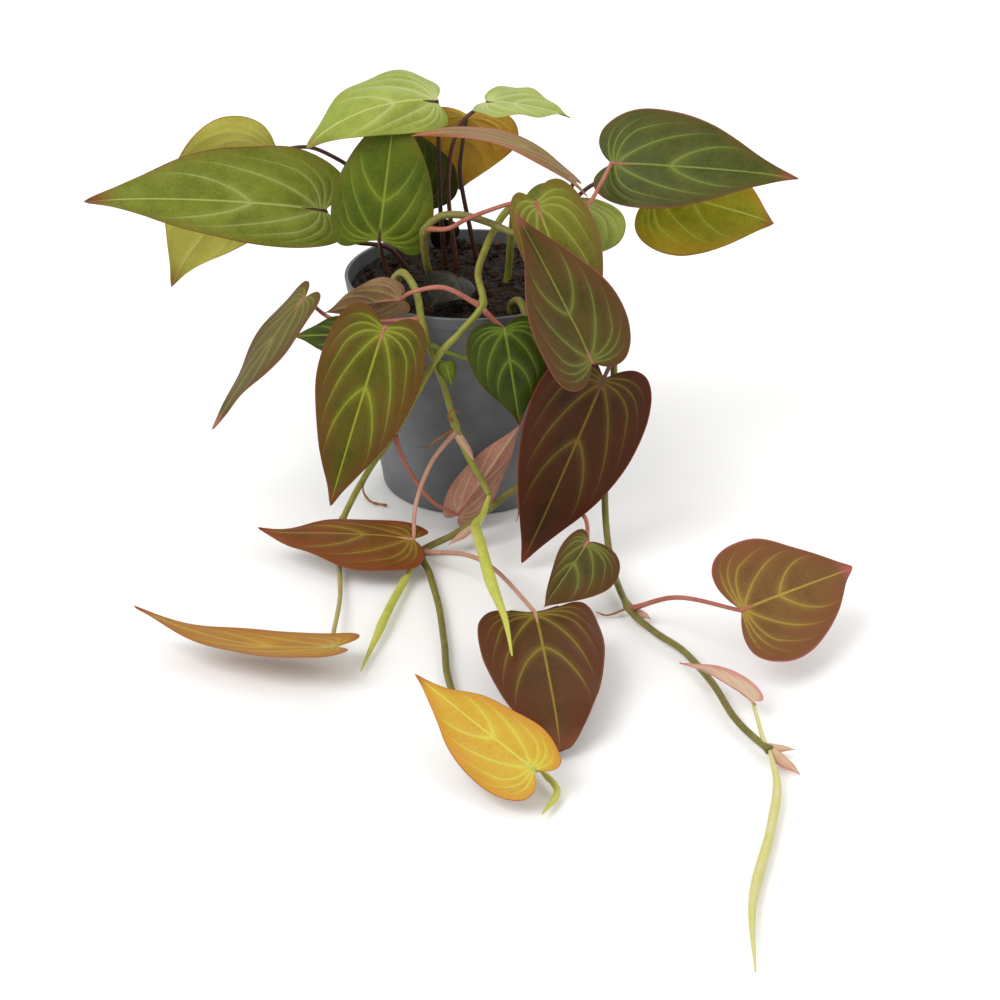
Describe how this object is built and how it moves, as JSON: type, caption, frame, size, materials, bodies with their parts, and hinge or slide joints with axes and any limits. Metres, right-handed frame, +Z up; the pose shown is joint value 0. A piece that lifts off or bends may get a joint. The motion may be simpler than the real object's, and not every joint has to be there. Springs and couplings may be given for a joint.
{
  "type": "potted philodendron",
  "caption": "Heart-leaf philodendron with bronze and green leaves in a plain grey nursery pot, its vines hanging over the rim and along the floor.",
  "frame": {"origin": "centre of the pot's foot, on the floor", "axes": "+Z up, -Y toward the plant's front, where the vines hang, and +X to the right seen from the front"},
  "size_m": [0.3481, 0.438, 0.2025],
  "materials": {
    "bark_chip_back": "rough",
    "bark_chip_left": "rough",
    "bark_chip_right": "rough",
    "cataphyll_curl": "dry, thin",
    "cataphyll_low": "dry, thin",
    "cataphyll_middle": "dry, thin",
    "cataphyll_pink": "dry, thin",
    "cataphyll_red": "dry, thin",
    "cataphyll_right": "dry, thin",
    "cataphyll_tip_a": "dry, thin",
    "cataphyll_tip_b": "dry, thin",
    "leaf_back": "velvety",
    "leaf_dark_back": "velvety",
    "leaf_dark_in_pot": "velvety",
    "leaf_edge_on": "velvety",
    "leaf_far_left": "velvety",
    "leaf_fold_small": "velvety",
    "leaf_front_brown": "velvety",
    "leaf_front_centre": "velvety",
    "leaf_front_copper": "velvety",
    "leaf_front_green": "velvety",
    "leaf_front_left": "velvety",
    "leaf_left_back": "velvety",
    "leaf_left_hanging": "velvety",
    "leaf_left_small": "velvety",
    "leaf_low_copper": "velvety",
    "leaf_low_edge": "velvety",
    "leaf_low_front": "velvety",
    "leaf_low_left": "velvety",
    "leaf_low_right": "velvety",
    "leaf_low_small": "velvety",
    "leaf_pale_small": "velvety",
    "leaf_pale_underside": "velvety",
    "leaf_right_large": "velvety",
    "leaf_right_lower": "velvety",
    "leaf_right_mid": "velvety",
    "leaf_small_bit": "velvety",
    "leaf_top_arch": "velvety",
    "leaf_top_right": "velvety",
    "leaf_upright": "velvety",
    "leaf_upright_back": "velvety",
    "leaf_young_right": "velvety",
    "pot": "matt",
    "rolled_leaf_pale": "soft, young",
    "root_curl": "dry",
    "root_drain": "dry",
    "root_front": "dry",
    "root_middle": "dry",
    "root_right": "dry",
    "shoot_front": "soft, young",
    "shoot_left": "soft, young",
    "shoot_long": "soft, young",
    "soil": "rough, moist peat",
    "stem_front": "smooth green bark",
    "stem_left": "smooth green bark",
    "stem_middle": "smooth green bark",
    "stem_right": "smooth green bark"
  },
  "bodies": {
    "root": {"bark_chip_back": "bark_chip_back", "bark_chip_left": "bark_chip_left", "bark_chip_right": "bark_chip_right", "cataphyll_curl": "cataphyll_curl", "cataphyll_low": "cataphyll_low", "cataphyll_middle": "cataphyll_middle", "cataphyll_pink": "cataphyll_pink", "cataphyll_red": "cataphyll_red", "cataphyll_right": "cataphyll_right", "cataphyll_tip_a": "cataphyll_tip_a", "cataphyll_tip_b": "cataphyll_tip_b", "leaf_back": "leaf_back", "leaf_dark_back": "leaf_dark_back", "leaf_dark_in_pot": "leaf_dark_in_pot", "leaf_edge_on": "leaf_edge_on", "leaf_far_left": "leaf_far_left", "leaf_fold_small": "leaf_fold_small", "leaf_front_brown": "leaf_front_brown", "leaf_front_centre": "leaf_front_centre", "leaf_front_copper": "leaf_front_copper", "leaf_front_green": "leaf_front_green", "leaf_front_left": "leaf_front_left", "leaf_left_back": "leaf_left_back", "leaf_left_hanging": "leaf_left_hanging", "leaf_left_small": "leaf_left_small", "leaf_low_copper": "leaf_low_copper", "leaf_low_edge": "leaf_low_edge", "leaf_low_front": "leaf_low_front", "leaf_low_left": "leaf_low_left", "leaf_low_right": "leaf_low_right", "leaf_low_small": "leaf_low_small", "leaf_pale_small": "leaf_pale_small", "leaf_pale_underside": "leaf_pale_underside", "leaf_right_large": "leaf_right_large", "leaf_right_lower": "leaf_right_lower", "leaf_right_mid": "leaf_right_mid", "leaf_small_bit": "leaf_small_bit", "leaf_top_arch": "leaf_top_arch", "leaf_top_right": "leaf_top_right", "leaf_upright": "leaf_upright", "leaf_upright_back": "leaf_upright_back", "leaf_young_right": "leaf_young_right", "pot": "pot", "rolled_leaf_pale": "rolled_leaf_pale", "root_curl": "root_curl", "root_drain": "root_drain", "root_front": "root_front", "root_middle": "root_middle", "root_right": "root_right", "shoot_front": "shoot_front", "shoot_left": "shoot_left", "shoot_long": "shoot_long", "soil": "soil", "stem_front": "stem_front", "stem_left": "stem_left", "stem_middle": "stem_middle", "stem_right": "stem_right"}
  },
  "joints": []
}
